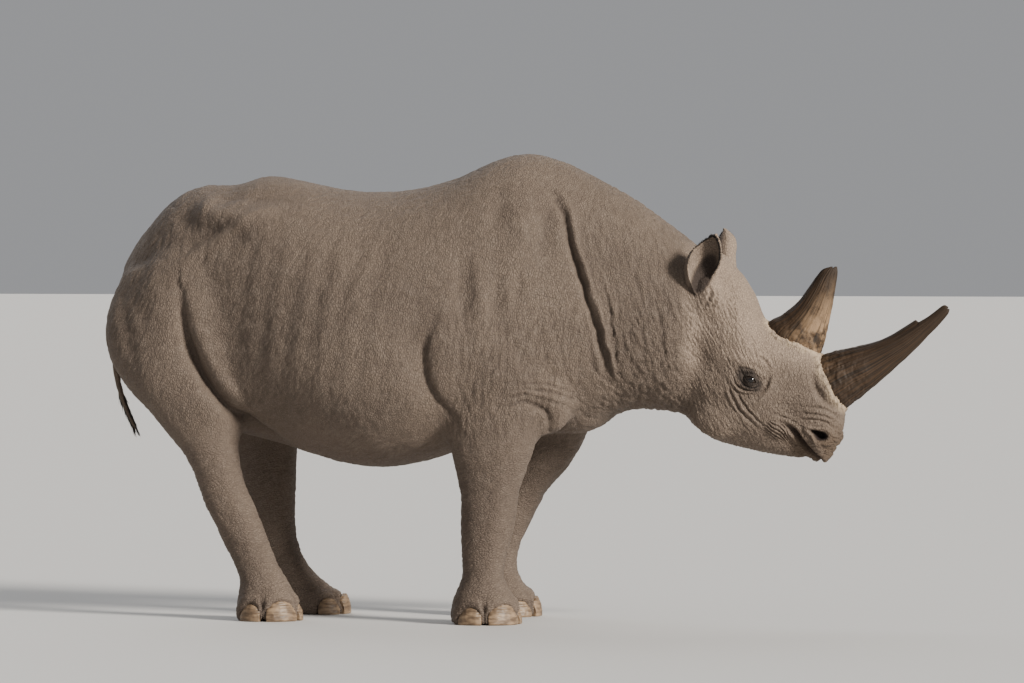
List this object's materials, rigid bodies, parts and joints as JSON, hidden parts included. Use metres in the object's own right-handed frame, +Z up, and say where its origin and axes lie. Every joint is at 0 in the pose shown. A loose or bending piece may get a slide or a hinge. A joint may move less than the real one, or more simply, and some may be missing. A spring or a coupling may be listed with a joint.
{
  "type": "black rhinoceros animal model",
  "caption": "Life-size standing black rhinoceros with two horns, head lowered a little, still museum model.",
  "frame": {"origin": "on the floor under the middle of the animal's bounding box", "axes": "+X from tail to head, +Y to the animal's left side, +Z up"},
  "size_m": [2.884, 0.8894, 1.5566],
  "materials": {
    "skin": "matte",
    "horn": "matte",
    "nail": "matte",
    "eye": "gloss"
  },
  "bodies": {
    "root": {"head": "skin", "neck": "skin", "trunk": "skin", "tail": "skin", "foreleg_right_upper": "skin", "foreleg_right_lower": "skin", "forefoot_right": "skin", "hind_leg_right_upper": "skin", "hind_leg_right_lower": "skin", "hind_foot_right": "skin", "ear_right": "skin", "foreleg_left_upper": "skin", "foreleg_left_lower": "skin", "forefoot_left": "skin", "hind_leg_left_upper": "skin", "hind_leg_left_lower": "skin", "hind_foot_left": "skin", "ear_left": "skin", "tail_tip": "skin", "horn_rear": "horn", "horn_front": "horn", "eye_right": "eye", "eye_left": "eye", "nail_forefoot_right_inner": "nail", "nail_forefoot_right_middle": "nail", "nail_forefoot_right_outer": "nail", "nail_forefoot_left_inner": "nail", "nail_forefoot_left_middle": "nail", "nail_forefoot_left_outer": "nail", "nail_hind_foot_right_inner": "nail", "nail_hind_foot_right_middle": "nail", "nail_hind_foot_right_outer": "nail", "nail_hind_foot_left_inner": "nail", "nail_hind_foot_left_middle": "nail", "nail_hind_foot_left_outer": "nail"}
  },
  "joints": []
}
